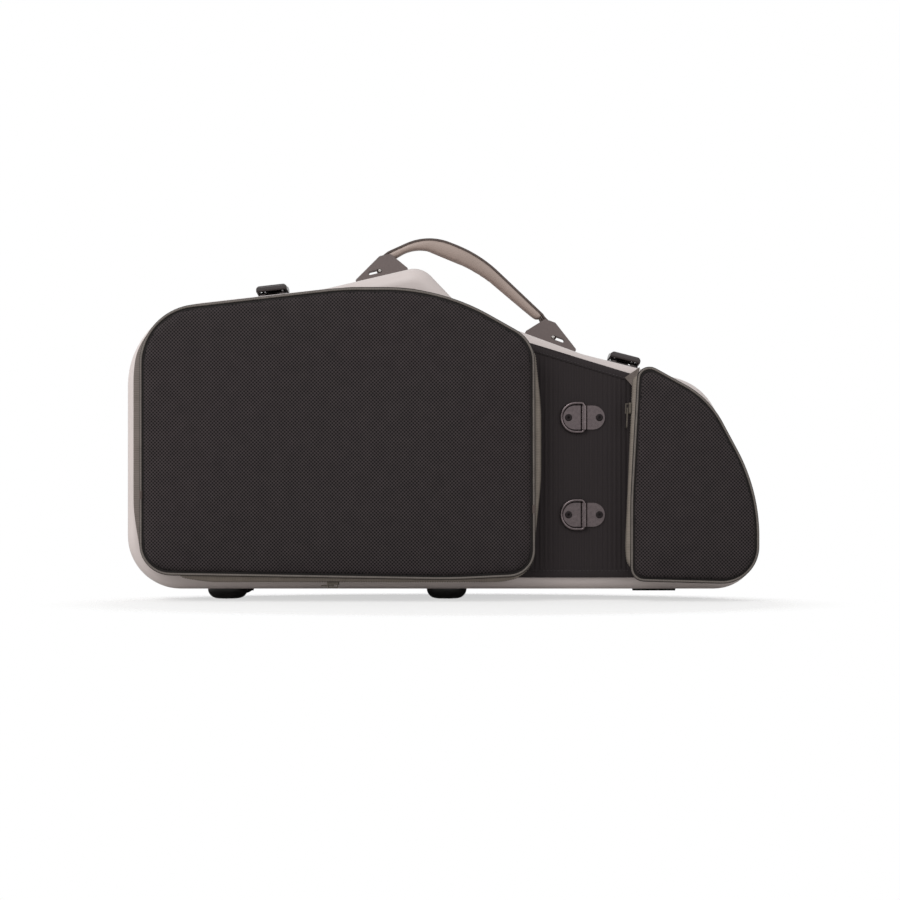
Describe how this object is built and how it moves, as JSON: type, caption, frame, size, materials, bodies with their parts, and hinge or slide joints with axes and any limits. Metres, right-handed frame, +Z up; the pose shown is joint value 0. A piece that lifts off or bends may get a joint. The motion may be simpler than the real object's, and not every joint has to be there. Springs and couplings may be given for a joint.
{
  "type": "saxophone case",
  "caption": "Shaped moulded instrument case that stands on rubber feet, with a hinged lid, draw latches, a carrying handle, strap rings and zipped mesh pockets.",
  "frame": {"origin": "the centre of the case's footprint, on the floor that the feet stand on", "axes": "+X along the case towards its narrow end, +Y from the pockets through to the lid, +Z up"},
  "size_m": [0.631, 0.204, 0.3618],
  "materials": {
    "silver_shell": "pebbled",
    "foam_lining": "velour",
    "seal_rubber": "matte",
    "foot_rubber": "satin",
    "black_mesh": "spacer mesh",
    "ribbed_nylon": "ribbed weave",
    "olive_piping": "cord",
    "zip_tape": "woven tape",
    "zip_metal": "satin",
    "black_nickel": "polished",
    "bracket_steel": "satin",
    "screw_steel": "satin",
    "grip_vinyl": "satin",
    "strap_black": "webbing",
    "latch_plastic": "satin"
  },
  "bodies": {
    "base": {"base_shell": "silver_shell", "rim_seal": "seal_rubber", "base_foam": "foam_lining", "base_feet": "foot_rubber", "base_foot_screws": "screw_steel", "hinge_base_leaves": "screw_steel", "hinge_pins": "screw_steel", "hinge_base_screws": "screw_steel", "cover_panel": "ribbed_nylon", "large_pocket": "black_mesh", "small_pocket": "black_mesh", "large_pocket_piping": "olive_piping", "small_pocket_piping": "olive_piping", "large_pocket_zip": "zip_tape", "small_pocket_zip": "zip_tape", "d_ring_plate_upper": "black_nickel", "d_ring_plate_lower": "black_nickel", "d_ring_rivets": "black_nickel", "handle_bracket_left": "bracket_steel", "handle_bracket_right": "bracket_steel", "handle_grip": "grip_vinyl", "handle_screws": "screw_steel", "latch_left_base": "latch_plastic", "latch_right_base": "latch_plastic", "latch_pivot_pins": "screw_steel", "latch_screws": "screw_steel"},
    "lid": {"lid_shell": "silver_shell", "lid_foam": "foam_lining", "lid_feet": "foot_rubber", "lid_foot_screws": "screw_steel", "hinge_lid_leaves": "screw_steel", "hinge_lid_screws": "screw_steel", "latch_left_keeper": "screw_steel", "latch_right_keeper": "screw_steel", "keeper_screws": "screw_steel"},
    "latch_left_lever": {"latch_left_lever": "latch_plastic", "latch_left_bail_pin": "screw_steel"},
    "latch_left_bail": {"latch_left_bail": "screw_steel"},
    "latch_right_lever": {"latch_right_lever": "latch_plastic", "latch_right_bail_pin": "screw_steel"},
    "latch_right_bail": {"latch_right_bail": "screw_steel"},
    "d_ring_upper": {"d_ring_upper": "black_nickel"},
    "d_ring_lower": {"d_ring_lower": "black_nickel"},
    "handle_end_left": {"handle_strap_end_left": "strap_black"},
    "handle_end_right": {"handle_strap_end_right": "strap_black"},
    "large_zip_slider": {"large_zip_slider": "zip_metal"},
    "large_zip_pull": {"large_zip_pull": "zip_metal"},
    "small_zip_slider": {"small_zip_slider": "zip_metal"},
    "small_zip_pull": {"small_zip_pull": "zip_metal"}
  },
  "joints": [
    {"name": "lid_hinge", "type": "hinge", "parent": "base", "child": "lid", "pos_m": [0, 0.027, 0.0076], "axis": [-1, 0, 0], "range_deg": [0, 100]},
    {"name": "latch_left_lever", "type": "hinge", "parent": "base", "child": "latch_left_lever", "pos_m": [-0.17265, 0.014, 0.30861], "axis": [-0.9937, 0, -0.112], "range_deg": [0, 95]},
    {"name": "latch_left_bail", "type": "hinge", "parent": "latch_left_lever", "child": "latch_left_bail", "pos_m": [-0.17294, 0.004, 0.3112], "axis": [0.9937, 0, 0.112], "range_deg": [0, 95]},
    {"name": "latch_right_lever", "type": "hinge", "parent": "base", "child": "latch_right_lever", "pos_m": [0.18221, 0.014, 0.23893], "axis": [-0.969, 0, 0.2471], "range_deg": [0, 95]},
    {"name": "latch_right_bail", "type": "hinge", "parent": "latch_right_lever", "child": "latch_right_bail", "pos_m": [0.18285, 0.004, 0.24145], "axis": [0.969, 0, -0.2471], "range_deg": [0, 95]},
    {"name": "d_ring_upper_swing", "type": "hinge", "parent": "base", "child": "d_ring_upper", "pos_m": [0.1385, -0.0723, 0.18049], "axis": [0, 0, 1], "range_deg": [0, 165]},
    {"name": "d_ring_lower_swing", "type": "hinge", "parent": "base", "child": "d_ring_lower", "pos_m": [0.1385, -0.0723, 0.08471], "axis": [0, 0, 1], "range_deg": [0, 165]},
    {"name": "handle_left_slide", "type": "slide", "parent": "base", "child": "handle_end_left", "axis": [-0.9737, 0, -0.228], "range_m": [0, 0.01], "stiffness_N_per_m": 300, "deforming": ["handle_grip"]},
    {"name": "handle_right_slide", "type": "slide", "parent": "base", "child": "handle_end_right", "axis": [0.9391, 0, -0.3436], "range_m": [0, 0.01]},
    {"name": "large_zip_slide", "type": "slide", "parent": "base", "child": "large_zip_slider", "axis": [1, 0, 0], "range_m": [0, 0.15]},
    {"name": "large_zip_pull_swing", "type": "hinge", "parent": "large_zip_slider", "child": "large_zip_pull", "pos_m": [-0.10803, -0.085, 0.01549], "axis": [0, -1, 0], "range_deg": [0, 90]},
    {"name": "small_zip_slide", "type": "slide", "parent": "base", "child": "small_zip_slider", "axis": [-0.0431, 0, -0.9991], "range_m": [0, 0.12]},
    {"name": "small_zip_pull_swing", "type": "hinge", "parent": "small_zip_slider", "child": "small_zip_pull", "pos_m": [0.18041, -0.082, 0.1892], "axis": [0, 1, 0], "range_deg": [0, 165]}
  ],
  "couplings": [
    {"joint": "latch_left_bail", "follows": "latch_left_lever", "ratio": 1},
    {"joint": "latch_right_bail", "follows": "latch_right_lever", "ratio": 1},
    {"joint": "handle_right_slide", "follows": "handle_left_slide", "ratio": 1}
  ]
}
